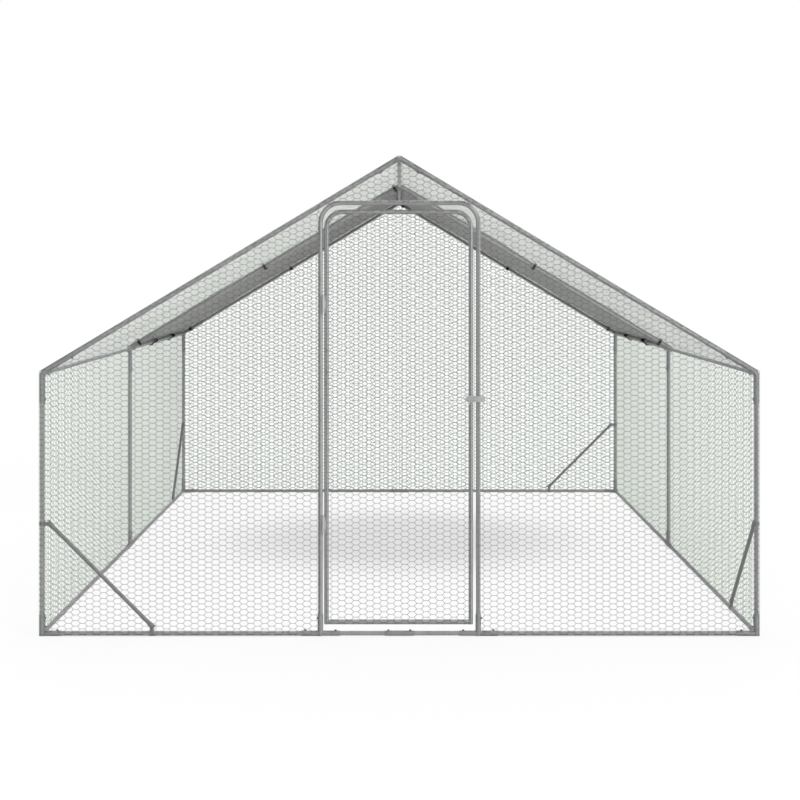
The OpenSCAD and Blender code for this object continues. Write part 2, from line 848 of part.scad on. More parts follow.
// Distance of p inside the edge from a to b of an outline that runs anticlockwise
function inside(a, b, p) = cross(b - a, p - a) / norm(b - a) - strand;
function clip_edge(pts, a, b) = [
  for (i = [0 : 1 : len(pts) - 1])
    let (p = pts[i], q = pts[(i + 1) % len(pts)], u = inside(a, b, p), v = inside(a, b, q))
      each concat(u >= 0 ? [p] : [], u * v < 0 ? [p + (q - p) * u / (u - v)] : [])
];
function clip(pts, outline, k = 0) =
  k == len(outline) || len(pts) < 3 ? pts
  : clip(clip_edge(pts, outline[k], outline[(k + 1) % len(outline)]), outline, k + 1);
function area(pts) =
  len(pts) < 3 ? 0
  : abs([for (i = [0 : len(pts) - 1]) cross(pts[i], pts[(i + 1) % len(pts)])] * [for (p = pts) 0.5]);

mesh_half = mesh_w - mesh_twist / 2;
mesh_edge = norm([mesh_half - mesh_twist / 2, mesh_h / 2]);
mesh_nx = mesh_h / 2 / mesh_edge;
mesh_ny = (mesh_half - mesh_twist / 2) / mesh_edge;
gap_y = (mesh_h - strand) / 2;
gap_x = mesh_half - strand / 2 / mesh_nx;
gap_top = gap_x - gap_y * mesh_ny / mesh_nx;
gap = [[gap_x, 0], [gap_top, gap_y], [-gap_top, gap_y], [-gap_x, 0], [-gap_top, -gap_y], [gap_top, -gap_y]];
least_gap = area(gap) * least_share;

module net(outline) {
  xs = [for (p = outline) p[0]];
  ys = [for (p = outline) p[1]];
  color(wire)
    linear_extrude(net_t)
      difference() {
        polygon(outline);
        for (i = [floor(min(xs) / mesh_w) : ceil(max(xs) / mesh_w)],
             j = [floor(min(ys) / mesh_h) - 1 : ceil(max(ys) / mesh_h)]) {
          stagger = i % 2 == 0 ? 0 : mesh_h / 2;
          cell = clip([for (p = gap) p + [i * mesh_w, j * mesh_h + stagger]], outline);
          if (area(cell) > least_gap)
            polygon(cell);
        }
      }
}

net_hw = frame_hw + sleeve_d / 2;
net_hd = frame_hd + sleeve_d / 2;
seam = clear;
// Height of the edge of a front or back net along the rafters, at x
function gable_z(x) = ridge_z + (tube_r - clear / 2) / slope_c - abs(x) * tan(roof_pitch);

module front_net(outline) {
  translate([0, y_front - net_off, 0])
    rotate([90, 0, 0])
      net(outline);
}

module front_left_net() {
  edge = -door_hw - 2 * seam;
  front_net([[-net_hw, net_lift], [edge, net_lift], [edge, gable_z(edge)], [-net_hw, gable_z(net_hw)]]);
}

module front_right_net() {
  edge = door_hw + 2 * seam;
  front_net([[edge, net_lift], [net_hw, net_lift], [net_hw, gable_z(net_hw)], [edge, gable_z(edge)]]);
}

module front_gable_net() {
  half = min(door_hw - seam, (gable_z(0) - door_top) / tan(roof_pitch));
  shoulder = gable_z(half) + clear / 10;
  front_net([[-half, door_top], [half, door_top], [half, shoulder], [0, gable_z(0)], [-half, shoulder]]);
}

module door_net() {
  x0 = leaf_left + seam;
  x1 = leaf_right - seam;
  z0 = leaf_bottom - tube_r + seam;
  z1 = leaf_top + tube_r - seam;
  cut = leaf_bend * corner_share;
  front_net([[x0, z0], [x1, z0], [x1, z1 - cut], [x1 - cut, z1], [x0 + cut, z1], [x0, z1 - cut]]);
}

module side_net(side) {
  top = eave_rail_z;
  difference() {
    translate([side * (net_off + frame_hw) - (side == left ? net_t : 0), y_shift, 0])
      rotate([90, 0, 90])
        net([[-net_hd, net_lift], [net_hd, net_lift], [net_hd, top], [-net_hd, top]]);
    tie_windows();
  }
}

module left_side_net() side_net(left);
module right_side_net() side_net(right);

module back_net() {
  difference() {
    translate([0, y_back + net_face, 0])
      rotate([90, 0, 0])
        net([[-net_hw, net_lift], [net_hw, net_lift], [net_hw, gable_z(net_hw)],
             [0, gable_z(0)], [-net_hw, gable_z(net_hw)]]);
    tie_windows();
  }
}

module roof_net(side) {
  top = seam - net_face * tan(roof_pitch);
  foot = rail_s + cover_lap;
  difference() {
    slope(side)
      translate([0, y_shift, net_off])
        net([[top, -net_hd], [foot, -net_hd], [foot, net_hd], [top, net_hd]]);
    tie_windows();
  }
}

module left_roof_net() roof_net(left);
module right_roof_net() roof_net(right);

// Cover and ties

// Puts its child at a tie: Y points into the covered bay, Z is square to the slope, and the tube
// that carries the tie runs along X
module at_rafter_tie(t) {
  slope(t[0])
    translate([t[2], t[1], 0])
      mirror([0, t[4] < 0 ? 1 : 0, 0])
        children();
}

module at_rail_tie(t) {
  slope(t[0])
    translate([rail_s, t[1], rail_n])
      rotate([0, 0, 90])
        children();
}

module window(r, lift) {
  translate([0, 0, tie_mid(r, lift)])
    rotate([0, 90, 0])
      cylinder(r = tie_r(r, lift) + cord_d / 2 + clear, h = cord_d + 2 * clear, center = true);
}

// Room in the netting for the tie loops
module tie_windows() {
  for (t = rafter_ties)
    at_rafter_tie(t)
      window(t[3], 0);
  for (t = rail_ties)
    at_rail_tie(t)
      window(tube_r, -rail_n);
}

module loop(r, lift) {
  translate([0, 0, tie_mid(r, lift)])
    rotate([0, 90, 0])
      rotate_extrude()
        translate([tie_r(r, lift), 0])
          circle(d = cord_d);
}

module ball(r, lift) {
  translate([0, ball_out(r, lift), 0])
    sphere(d = ball_d);
}

module eyelet_hole(r, lift) {
  translate([0, eyelet_out(r, lift), cover_off + lift - clear])
    cylinder(d = eyelet_d + 2 * eyelet_t + 2 * fit_gap, h = cover_t + 2 * clear);
}

module eyelet(r, lift) {
  inner = eyelet_d / 2;
  top = cover_t + fit_gap;
  translate([0, eyelet_out(r, lift), cover_off + lift])
    rotate_extrude()
      polygon([
        [inner, 0], [inner + eyelet_t, 0], [inner + eyelet_t, top],
        [inner + eyelet_flange, top], [inner + eyelet_flange, top + eyelet_t], [inner, top + eyelet_t]
      ]);
}

// The cover: one sheet folded over the ridge, a little above the netting
module roof_cover() {
  foot = rail_s + cover_lap;
  function edge(side, n) =
    [side * (foot * slope_c + n * slope_s), ridge_z - foot * slope_s + n * slope_c];
  function fold(n) = [0, ridge_z + n / slope_c];
  color(fabric)
    difference() {
      translate([0, y_back + cover_lap, 0])
        rotate([90, 0, 0])
          linear_extrude(y_back - y_mid + 2 * cover_lap)
            polygon([
              edge(left, cover_off), fold(cover_off), edge(right, cover_off),
              edge(right, cover_top), fold(cover_top), edge(left, cover_top)
            ]);
      for (t = rafter_ties)
        at_rafter_tie(t)
          eyelet_hole(t[3], 0);
      for (t = rail_ties)
        at_rail_tie(t)
          eyelet_hole(tube_r, -rail_n);
    }
}

module cover_eyelets() {
  color(zinc) {
    for (t = rafter_ties)
      at_rafter_tie(t)
        eyelet(t[3], 0);
    for (t = rail_ties)
      at_rail_tie(t)
        eyelet(tube_r, -rail_n);
  }
}

module bungee_loops() {
  color(rubber) {
    for (t = rafter_ties)
      at_rafter_tie(t)
        loop(t[3], 0);
    for (t = rail_ties)
      at_rail_tie(t)
        loop(tube_r, -rail_n);
  }
}

module bungee_balls() {
  color(rubber) {
    for (t = rafter_ties)
      at_rafter_tie(t)
        ball(t[3], 0);
    for (t = rail_ties)
      at_rail_tie(t)
        ball(tube_r, -rail_n);
  }
}

front_left_post();
front_right_post();
mid_left_post();
mid_right_post();
back_left_post();
back_right_post();
front_left_rafter();
front_right_rafter();
mid_left_rafter();
mid_right_rafter();
back_left_rafter();
back_right_rafter();
front_left_eave_rail();
front_right_eave_rail();
back_left_eave_rail();
back_right_eave_rail();
front_ridge_pole();
back_ridge_pole();
front_left_side_rail();
front_right_side_rail();
back_left_side_rail();
back_right_side_rail();
left_front_base_rail();
right_front_base_rail();
left_door_sill();
right_door_sill();
left_back_base_rail();
right_back_base_rail();
rail_couplers();
eave_connectors();
ridge_connectors();
base_connectors();
connector_screws();
corner_braces();
brace_clamps();
door_frame_hoop();
door_frame_clips();
door_leaf_hoop();
door_leaf_bottom_rail();
hinge_post_straps();
hinge_leaf_straps();
hinge_pins();
latch_case();
latch_bolt();
latch_keeper();
front_left_net();
front_right_net();
front_gable_net();
door_net();
left_side_net();
right_side_net();
back_net();
left_roof_net();
right_roof_net();
roof_cover();
cover_eyelets();
bungee_loops();
bungee_balls();
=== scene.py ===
import json
from math import cos, hypot, pi, radians, sin, sqrt, tan

import bpy
from mathutils import Matrix, Vector, noise


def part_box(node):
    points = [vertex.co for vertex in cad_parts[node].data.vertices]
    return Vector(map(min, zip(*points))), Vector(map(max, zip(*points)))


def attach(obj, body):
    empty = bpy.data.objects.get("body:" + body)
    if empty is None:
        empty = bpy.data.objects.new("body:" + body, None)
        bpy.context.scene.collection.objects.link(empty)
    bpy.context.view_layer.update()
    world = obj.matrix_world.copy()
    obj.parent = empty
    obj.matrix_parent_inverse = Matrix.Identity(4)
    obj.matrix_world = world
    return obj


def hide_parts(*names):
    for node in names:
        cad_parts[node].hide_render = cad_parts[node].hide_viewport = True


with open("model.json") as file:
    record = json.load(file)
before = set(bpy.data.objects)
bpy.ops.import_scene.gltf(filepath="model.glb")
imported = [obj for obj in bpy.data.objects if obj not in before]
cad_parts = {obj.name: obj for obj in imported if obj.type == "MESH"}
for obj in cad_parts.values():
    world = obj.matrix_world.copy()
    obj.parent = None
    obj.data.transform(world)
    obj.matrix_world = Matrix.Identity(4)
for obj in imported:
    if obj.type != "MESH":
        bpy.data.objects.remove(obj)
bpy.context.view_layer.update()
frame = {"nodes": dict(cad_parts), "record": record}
scene = bpy.context.scene
print("frame loaded,", len(frame["nodes"]), "nodes")

# places taken over from the part, in metres
run = {
    "halfWidth": 1.489,  # middle of the posts
    "front": -1.9855,
    "middle": 0.0035,
    "back": 1.9925,
    "bay": 1.989,  # from one truss to the next
    "ridge": 1.99273,  # middle of the ridge pole
    "pitch": radians(31.0),
    "slopeLength": 1.7371,
    "railDown": 1.73521,  # eave rail, measured down the slope
    "railSunk": 0.00337,  # and below the rafters' middle
}


# eye height, square on to the door, with the picture moved down by the lens shift
viewPoint = {
    "place": (0.0, -8.075, 1.514),
    "lens": 65.7,
    "shiftX": 0.0008,
    "shiftY": -0.159,
    "far": 200,
}


def setCamera():
    bpy.ops.object.camera_add(location=viewPoint["place"], rotation=(pi / 2, 0, 0))
    camera = bpy.context.object
    camera.data.lens = viewPoint["lens"]
    camera.data.shift_x = viewPoint["shiftX"]
    camera.data.shift_y = viewPoint["shiftY"]
    camera.data.clip_end = viewPoint["far"]
    scene.camera = camera


bpy.ops.object.select_all(action="DESELECT")
setCamera()
scene.view_settings.view_transform = "Standard"
print("camera set")


# a socket of a node tree that can be added, multiplied and so on like a number
class Flow:
    def __init__(self, tree, socket=None):
        self.tree = tree
        self.socket = socket

    def node(self, kind, settings=None, values=None, out=0):
        made = self.tree.nodes.new(kind)
        for key, value in (settings or {}).items():
            setattr(made, key, value)
        for key, value in (values or {}).items():
            socket = made.inputs[key]
            if isinstance(value, Flow):
                self.tree.links.new(value.socket, socket)
            elif socket.type == "RGBA" and len(value) == 3:
                socket.default_value = (*value, 1)
            else:
                socket.default_value = value
        return Flow(self.tree, made.outputs[out]) if made.outputs else made

    def sums(self, operation, left, right):
        kinds = [side.socket.type for side in (left, right) if isinstance(side, Flow)]
        if "VECTOR" in kinds:
            return self.node("ShaderNodeVectorMath", {"operation": operation}, {0: left, 1: right})
        if "RGBA" in kinds:
            blend = {"data_type": "RGBA", "blend_type": operation}
            return self.node("ShaderNodeMix", blend, {0: 1.0, 6: left, 7: right}, 2)
        return self.node("ShaderNodeMath", {"operation": operation}, {0: left, 1: right})

    def __add__(self, other):
        return self.sums("ADD", self, other)

    def __radd__(self, other):
        return self.sums("ADD", other, self)

    def __sub__(self, other):
        return self.sums("SUBTRACT", self, other)

    def __rsub__(self, other):
        return self.sums("SUBTRACT", other, self)

    def __mul__(self, other):
        return self.sums("MULTIPLY", self, other)

    def __rmul__(self, other):
        return self.sums("MULTIPLY", other, self)

    def above(self, edge, soft):
        # 0 below the edge and 1 above it, over a soft step
        limits = {"From Min": edge - soft, "From Max": edge + soft}
        settings = {"interpolation_type": "SMOOTHSTEP", "clamp": True}
        return self.node("ShaderNodeMapRange", settings, {"Value": self, **limits})

    def between(self, low, high):
        # a colour or a number from low to high, by this share
        if hasattr(low, "__len__") or isinstance(low, Flow):
            return self.node("ShaderNodeMix", {"data_type": "RGBA"}, {0: self, 6: low, 7: high}, 2)
        return self * (high - low) + low


def startMaterial(name):
    material = bpy.data.materials.new(name)
    material.use_nodes = True
    material.node_tree.nodes.clear()
    flow = Flow(material.node_tree)
    where = flow.node("ShaderNodeTexCoord", out="Object")
    return material, flow, where


def endMaterial(flow, values):
    shader = flow.node("ShaderNodeBsdfPrincipled", None, values)
    flow.node("ShaderNodeOutputMaterial", None, {"Surface": shader})


def clouds(flow, where, scale, detail=3.0, rough=0.55):
    values = {"Vector": where, "Scale": scale, "Detail": detail, "Roughness": rough}
    return flow.node("ShaderNodeTexNoise", None, values)


def bump(flow, height, strength, distance):
    values = {"Height": height, "Strength": strength, "Distance": distance}
    return flow.node("ShaderNodeBump", None, values)


zinc = {
    "tube": {"dark": (0.255, 0.258, 0.260), "light": (0.370, 0.374, 0.376), "rough": 0.40},
    "brace": {"dark": (0.165, 0.168, 0.170), "light": (0.250, 0.254, 0.256), "rough": 0.44},
    "connector": {"dark": (0.220, 0.223, 0.226), "light": (0.315, 0.319, 0.322), "rough": 0.46},
    "hardware": {"dark": (0.380, 0.384, 0.387), "light": (0.500, 0.504, 0.507), "rough": 0.36},
}


# hot dipped zinc: a flake pattern, dull bloom in drifts, fine grain and spots of soil
def zincMaterial(name):
    look = zinc[name]
    material, flow, where = startMaterial("zinc" + name.capitalize())
    flakes = flow.node("ShaderNodeTexVoronoi", None, {"Vector": where, "Scale": 95.0}, "Color")
    flake = flow.node("ShaderNodeSeparateColor", None, {"Color": flakes})
    drift = clouds(flow, where, scale=5.0, detail=4.0).above(edge=0.52, soft=0.22)
    grain = clouds(flow, where, scale=900.0, detail=2.0)
    soil = clouds(flow, where, scale=34.0, detail=5.0).above(edge=0.63, soft=0.08)
    share = flake * 0.42 + drift * 0.38 + grain * 0.20
    paint = share.between(look["dark"], look["light"])
    dull = soil.between((1.0, 1.0, 1.0), (0.86, 0.85, 0.83))
    endMaterial(flow, {
        "Base Color": paint * dull,
        "Metallic": 0.45,
        "Roughness": flake * 0.10 + drift * 0.12 + soil * 0.08 + look["rough"],
        "Normal": bump(flow, flake * 0.5 + grain * 0.5, strength=0.10, distance=0.0004),
    })
    return material


# turned screw heads, darker than the zinc round them
def screwMaterial():
    material, flow, where = startMaterial("screwSteel")
    rub = clouds(flow, where, scale=420.0)
    endMaterial(flow, {
        "Base Color": rub.between((0.090, 0.091, 0.093), (0.170, 0.172, 0.175)),
        "Metallic": 0.6,
        "Roughness": rub.between(0.30, 0.50),
        "Normal": bump(flow, rub, strength=0.12, distance=0.0003),
    })
    return material


wires = {
    "frontWire": {"width": 0.00165, "dark": (0.070, 0.070, 0.070), "light": (0.120, 0.120, 0.120)},
    "wallWire": {"width": 0.00155, "dark": (0.070, 0.200, 0.050), "light": (0.130, 0.310, 0.100)},
    "backWire": {"width": 0.0030, "dark": (0.026, 0.145, 0.020), "light": (0.055, 0.220, 0.042)},
    "roofWire": {"width": 0.00082, "dark": (0.230, 0.290, 0.215), "light": (0.320, 0.390, 0.300)},
    # the roof netting under the cover is painted pale grey like the cloth's underside, as painted light
    "paintedPaleCoveredWire": {"width": 0.0008, "dark": (0.310, 0.310, 0.305), "light": (0.420, 0.420, 0.415)},
}


# drawn zinc wire, bare at the front and with a green cast behind it, weathered in drifts a hand wide; the
# roof netting under the cover is painted pale grey as painted light for the shade it hangs in
def wireMaterial(name):
    material, flow, where = startMaterial(name)
    drift = clouds(flow, where, scale=7.0)
    endMaterial(flow, {
        "Base Color": drift.between(wires[name]["dark"], wires[name]["light"]),
        "Metallic": 0.1,
        "Roughness": drift.between(0.42, 0.60),
    })
    return material


# pairs go across the fold first, and then along the run
clothLook = {
    "flat": (3.528, 2.001),  # the sheet laid out, in metres
    "strips": (8, 4),  # between the creases it was packed in
    "crease": (0.012, 0.010),  # width, as a share of a strip
    "stitchIn": 0.026,  # stitches, in from the edge
    "stitchWidth": 0.0015,
    "stitchSoft": 0.001,
    "upper": ((0.235, 0.234, 0.233), (0.365, 0.363, 0.361)),
    # the underside is painted paler than the upper side, as painted light for the shade it lies in
    "under": ((0.430, 0.428, 0.427), (0.580, 0.577, 0.575)),
}


# coated cloth: a tight weave on its own map, packing creases, stitched hems and an underside painted paler
# than the top as painted light for the shade under the cover
def coverMaterial():
    material, flow, where = startMaterial("coverCloth")
    sheetMap = flow.node("ShaderNodeUVMap", {"uv_map": "OFBake"})
    bothSides = flow.node("ShaderNodeSeparateXYZ", None, {"Vector": sheetMap}, "X")
    along = flow.node("ShaderNodeSeparateXYZ", None, {"Vector": sheetMap}, "Y")
    across = flow.node("ShaderNodeMath", {"operation": "FRACT"}, {0: bothSides * 2})
    flat = flow.node("ShaderNodeCombineXYZ", None, {"X": across, "Y": along})
    threads = {"Vector": flat, "Scale": 260.0, "Distortion": 0.4, "Detail": 1.0}
    warp = flow.node("ShaderNodeTexWave", {"bands_direction": "X"}, threads, 1)
    weft = flow.node("ShaderNodeTexWave", {"bands_direction": "Y"}, threads, 1)
    weave = warp * weft
    fade = clouds(flow, where, scale=1.6, detail=4.0)
    speck = clouds(flow, where, scale=60.0, detail=4.0)
    wrinkle = clouds(flow, where, scale=9.0, detail=6.0, rough=0.62)
    folds = foldLines(flow, across, 0) + foldLines(flow, along, 1)
    stitches = stitchLine(flow, across, 0) + stitchLine(flow, along, 1)
    share = fade * 0.55 + speck * 0.25 + weave * 0.20 + folds * 0.30 - stitches * 0.45
    upper = share.between(*clothLook["upper"])
    under = share.between(*clothLook["under"])
    relief = wrinkle * 0.8 + weave * 0.2 + folds * 0.5
    endMaterial(flow, {
        "Base Color": bothSides.above(edge=0.5, soft=0.0005).between(upper, under),
        "Roughness": wrinkle.between(0.50, 0.72),
        "Specular IOR Level": 0.3,
        "Normal": bump(flow, relief, strength=0.30, distance=0.004),
    })
    return material


def foldLines(flow, place, axis):
    # 1 along the creases that part the sheet into strips
    strips = clothLook["strips"][axis]
    width = clothLook["crease"][axis]
    near = flow.node("ShaderNodeMath", {"operation": "PINGPONG"}, {0: place * strips, 1: 0.5})
    return 1 - near.above(edge=width, soft=width)


def stitchLine(flow, place, axis):
    # 1 on a line of stitches just inside both edges
    fromEdge = flow.node("ShaderNodeMath", {"operation": "PINGPONG"}, {0: place, 1: 0.5})
    off = fromEdge * clothLook["flat"][axis] - clothLook["stitchIn"]
    away = flow.node("ShaderNodeMath", {"operation": "ABSOLUTE"}, {0: off})
    return 1 - away.above(edge=clothLook["stitchWidth"], soft=clothLook["stitchSoft"])


# nickelled eyelets, rubbed brighter in small patches
def eyeletMaterial():
    material, flow, where = startMaterial("eyeletNickel")
    rub = clouds(flow, where, scale=300.0, detail=4.0)
    endMaterial(flow, {
        "Base Color": rub.between((0.30, 0.29, 0.27), (0.52, 0.51, 0.49)),
        "Metallic": 0.8,
        "Roughness": rub.between(0.24, 0.42),
    })
    return material


# black elastic cord with a plaited sheath
def cordMaterial():
    material, flow, where = startMaterial("tieCord")
    plait = flow.node("ShaderNodeTexVoronoi", None, {"Vector": where, "Scale": 620.0})
    fuzz = clouds(flow, where, scale=1500.0, detail=2.0)
    endMaterial(flow, {
        "Base Color": plait.between((0.003, 0.003, 0.004), (0.014, 0.014, 0.015)),
        "Roughness": fuzz.between(0.62, 0.86),
        "Specular IOR Level": 0.2,
        "Normal": bump(flow, plait, strength=0.5, distance=0.0006),
    })
    return material


# moulded black balls with a light orange peel
def ballMaterial():
    material, flow, where = startMaterial("tieBall")
    peel = clouds(flow, where, scale=700.0)
    endMaterial(flow, {
        "Base Color": peel.between((0.004, 0.004, 0.005), (0.012, 0.012, 0.013)),
        "Roughness": peel.between(0.34, 0.50),
        "Specular IOR Level": 0.25,
        "Normal": bump(flow, peel, strength=0.2, distance=0.0003),
    })
    return material


finishes = {
    "screw": screwMaterial(),
    "cover": coverMaterial(),
    "eyelet": eyeletMaterial(),
    "tie": cordMaterial(),
    "ball": ballMaterial(),
}
for metal in zinc:
    finishes[metal] = zincMaterial(metal)
for wire in wires:
    finishes[wire] = wireMaterial(wire)
print("materials made:", len(finishes))


def wear(piece, finish):
    piece.data.materials.clear()
    piece.data.materials.append(finishes[finish])


# every node that keeps its own shape takes the finish of its slot in the record, and the braces their own
def dressNodes():
    slots = {}
    for part in frame["record"]["subparts"]:
        slots[part["node"]] = part["material_slot"]
    for name, node in frame["nodes"].items():
        finish = slots[name]
        if finish == "netting":
            finish = "wallWire"
        elif "brace" in name and finish != "screw":
            finish = "brace"
        wear(node, finish)


# a white room: one sun behind the run lays the cover's shadow on the floor, and one lights the front
studio = {
    "sky": 0.30,
    "floor": (0.965, 0.965, 0.965),
    "floorSize": 120,
    "floorPlace": (0, 30, -0.001),
    "glow": 0.87,  # share of the floor's own white that the eye sees
    # a painted shadow on the floor: a soft round spot under the roof, seen dimmer than the rest
    "paintedShadowSpot": {"middle": (0.0, 0.25, 0.0), "edge": 0.85, "soft": 0.40, "shade": (0.795, 0.795, 0.795)},
    "sunAway": 9,
    "suns": [
        {"from": (0.0, 0.50, 0.87), "strength": 2.0, "spread": radians(60)},
        {"from": (0.75, -0.60, 0.35), "strength": 2.0, "spread": radians(40)},
    ],
}
white = (1.0, 1.0, 1.0)


def seenRays(flow):
    # 1 where the eye, a reflection or a see-through surface meets the room, and 0 for its light
    seen = flow.node("ShaderNodeLightPath", out="Is Camera Ray")
    for kind in ("Is Glossy Ray", "Is Transmission Ray"):
        ray = flow.node("ShaderNodeLightPath", out=kind)
        seen = flow.node("ShaderNodeMath", {"operation": "MAXIMUM"}, {0: seen, 1: ray})
    return seen


def layFloor():
    bpy.ops.mesh.primitive_plane_add(size=studio["floorSize"], location=studio["floorPlace"])
    floor = bpy.context.object
    floor.name = "floor"
    bpy.ops.object.transform_apply(location=True, rotation=True, scale=True)
    material, flow, where = startMaterial("paleFloor")
    matt = flow.node("ShaderNodeBsdfDiffuse", None, {"Color": studio["floor"], "Roughness": 0.0})

    # seen as white, with a painted shadow: a little dimmer in a soft spot under the roof
    spot = studio["paintedShadowSpot"]
    paintedShadow = flow.node("ShaderNodeEmission", None, {"Color": spot["shade"], "Strength": 1.0})
    bright = flow.node("ShaderNodeEmission", None, {"Color": white, "Strength": 1.0})
    away = flow.node("ShaderNodeVectorMath", {"operation": "LENGTH"}, {0: where - spot["middle"]}, "Value")
    outside = away.above(spot["edge"], spot["soft"])
    glow = flow.node("ShaderNodeMixShader", None, {0: outside, 1: paintedShadow, 2: bright})

    seen = seenRays(flow) * studio["glow"]
    mixed = flow.node("ShaderNodeMixShader", None, {0: seen, 1: matt, 2: glow})
    flow.node("ShaderNodeOutputMaterial", None, {"Surface": mixed})
    floor.data.materials.append(material)


def lightRoom():
    world = bpy.data.worlds.new("whiteRoom")
    scene.world = world
    world.use_nodes = True
    world.node_tree.nodes.clear()
    flow = Flow(world.node_tree)
    strength = seenRays(flow).between(studio["sky"], 1.0)
    sky = flow.node("ShaderNodeBackground", None, {"Color": white, "Strength": strength})
    flow.node("ShaderNodeOutputWorld", None, {"Surface": sky})

    for sun in studio["suns"]:
        way = Vector(sun["from"])
        turn = way.to_track_quat("Z", "Y").to_euler()
        bpy.ops.object.light_add(type="SUN", location=way * studio["sunAway"], rotation=turn)
        lamp = bpy.context.object.data
        lamp.energy = sun["strength"]
        lamp.angle = sun["spread"]


dressNodes()
layFloor()
lightRoom()
print("studio lit")


def clearAll():
    if bpy.context.object and bpy.context.object.mode != "OBJECT":
        bpy.ops.object.mode_set(mode="OBJECT")
    bpy.ops.object.select_all(action="DESELECT")


def pickOnly(piece):
    clearAll()
    piece.select_set(True)
    bpy.context.view_layer.objects.active = piece


def pickFaces(piece, wanted):
    # leaves the piece in edit mode with only the wanted faces selected
    bpy.ops.object.mode_set(mode="EDIT")
    bpy.ops.mesh.select_mode(type="FACE")
    bpy.ops.mesh.select_all(action="DESELECT")
    bpy.ops.object.mode_set(mode="OBJECT")
    for face in piece.data.polygons:
        face.select = wanted(face)
    bpy.ops.object.mode_set(mode="EDIT")


def joinAll(pieces):
    # one piece of many, with its place in its mesh
    clearAll()
    for piece in pieces:
        piece.select_set(True)
    bpy.context.view_layer.objects.active = pieces[0]
    bpy.ops.object.join()
    bpy.ops.object.transform_apply(location=True, rotation=True, scale=True)
    return bpy.context.object


def applyAll(piece):
    pickOnly(piece)
    for modifier in list(piece.modifiers):
        bpy.ops.object.modifier_apply(modifier=modifier.name)


def repeat(piece, count, step):
    modifier = piece.modifiers.new("copies", "ARRAY")
    modifier.count = count
    modifier.use_relative_offset = False
    modifier.use_constant_offset = True
    modifier.constant_offset_displace = step
    applyAll(piece)


# a point on or above a roof slope: down from the ridge, out from the rafters' middle
def onSlope(side, y, down, out):
    turn = run["pitch"]
    x = down * cos(turn) + out * sin(turn)
    z = run["ridge"] - down * sin(turn) + out * cos(turn)
    return Vector((side * x, y, z))


# hexagon netting as it is woven: each wire zigzags, and is wound with its neighbours in turn
netting = {
    "twist": 0.0184,  # two wires wound together, along the roll
    "lean": 0.0108,  # single wire between two twists, along the roll
    "rise": 0.01158,  # and across it
    "edgeWire": 0.0014,
    "fullness": 0.62,  # radius of a three-sided wire, as a share of its width
    "wave": 0.0018,  # how far a panel bellies
    "waves": 2.1,  # and how often in a metre
}


def weaveNet(name, outline, finish):
    # outline is a convex ring of points in the panel's own plane, counter-clockwise
    low = [min(point[axis] for point in outline) for axis in (0, 1)]
    high = [max(point[axis] for point in outline) for axis in (0, 1)]
    twist, lean, rise = netting["twist"], netting["lean"], netting["rise"]
    column = twist + lean
    rows = int((high[1] - low[1]) / rise / 2) + 3
    columns = int((high[0] - low[0]) / column / 2) + 3

    # one bend of a wire up to its twist and down again, drawn out from a single point
    clearAll()
    bpy.ops.mesh.primitive_plane_add(size=0.01)
    net = bpy.context.object
    net.name = name
    bpy.ops.object.mode_set(mode="EDIT")
    bpy.ops.mesh.select_all(action="SELECT")
    bpy.ops.mesh.merge(type="CENTER")
    bpy.ops.transform.translate(value=(low[0] - 1.5 * column, low[1] - 1.5 * rise, 0))
    for step in ((lean, rise, 0), (twist, 0, 0), (lean, -rise, 0)):
        bpy.ops.mesh.extrude_region_move(TRANSFORM_OT_translate={"value": step})
    bpy.ops.object.mode_set(mode="OBJECT")
    repeat(net, columns, (2 * column, 0, 0))
    repeat(net, 2, (column, rise, 0))
    repeat(net, rows, (0, 2 * rise, 0))

    # cut to the panel
    bpy.ops.object.mode_set(mode="EDIT")
    for here, there in zip(outline, outline[1:] + outline[:1]):
        bpy.ops.mesh.select_all(action="SELECT")
        outwards = Vector((there[1] - here[1], here[0] - there[0], 0)).normalized()
        bpy.ops.mesh.bisect(plane_co=(*here, 0), plane_no=outwards, clear_outer=True)
    bpy.ops.object.mode_set(mode="OBJECT")
    roundWires(net, wires[finish]["width"])

    # a straight edge wire all round
    clearAll()
    bpy.ops.mesh.primitive_circle_add(vertices=len(outline), radius=1)
    edge = bpy.context.object
    for vertex, point in zip(edge.data.vertices, outline):
        vertex.co = (*point, 0)
    roundWires(edge, netting["edgeWire"])
    net = joinAll([net, edge])
    layMap(net, low, high)
    wear(net, finish)
    return net


def roundWires(piece, width):
    # edges to wires of three sides
    clearAll()
    bpy.ops.mesh.primitive_circle_add(vertices=3, radius=width * netting["fullness"])
    section = bpy.context.object
    bpy.ops.object.convert(target="CURVE")
    pickOnly(piece)
    bpy.ops.object.convert(target="CURVE")
    piece.data.bevel_mode = "OBJECT"
    piece.data.bevel_object = section
    piece.data.use_fill_caps = True
    bpy.ops.object.convert(target="MESH")
    bpy.data.objects.remove(section)
    bpy.ops.object.shade_smooth()


def layMap(piece, low, high):
    # the panel's own plane as its map
    mesh = piece.data
    while mesh.uv_layers:
        mesh.uv_layers.remove(mesh.uv_layers[0])
    layer = mesh.uv_layers.new(name="OFBake")
    for loop, spot in zip(mesh.loops, layer.data):
        place = mesh.vertices[loop.vertex_index].co
        spot.uv = [(place[axis] - low[axis]) / (high[axis] - low[axis]) for axis in (0, 1)]


def hangNet(net, corner, along, up, body, node):
    # lays the flat panel against the frame, with a light belly between the tubes
    out = Vector(along).cross(Vector(up))
    for vertex in net.data.vertices:
        place = vertex.co.copy()
        spread = Vector((place.x * netting["waves"], place.y * netting["waves"], corner[1]))
        swell = netting["wave"] * noise.noise(spread)
        spot = Vector(corner) + Vector(along) * place.x + Vector(up) * place.y
        vertex.co = spot + out * (place.z + swell)
    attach(net, body)
    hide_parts(node)


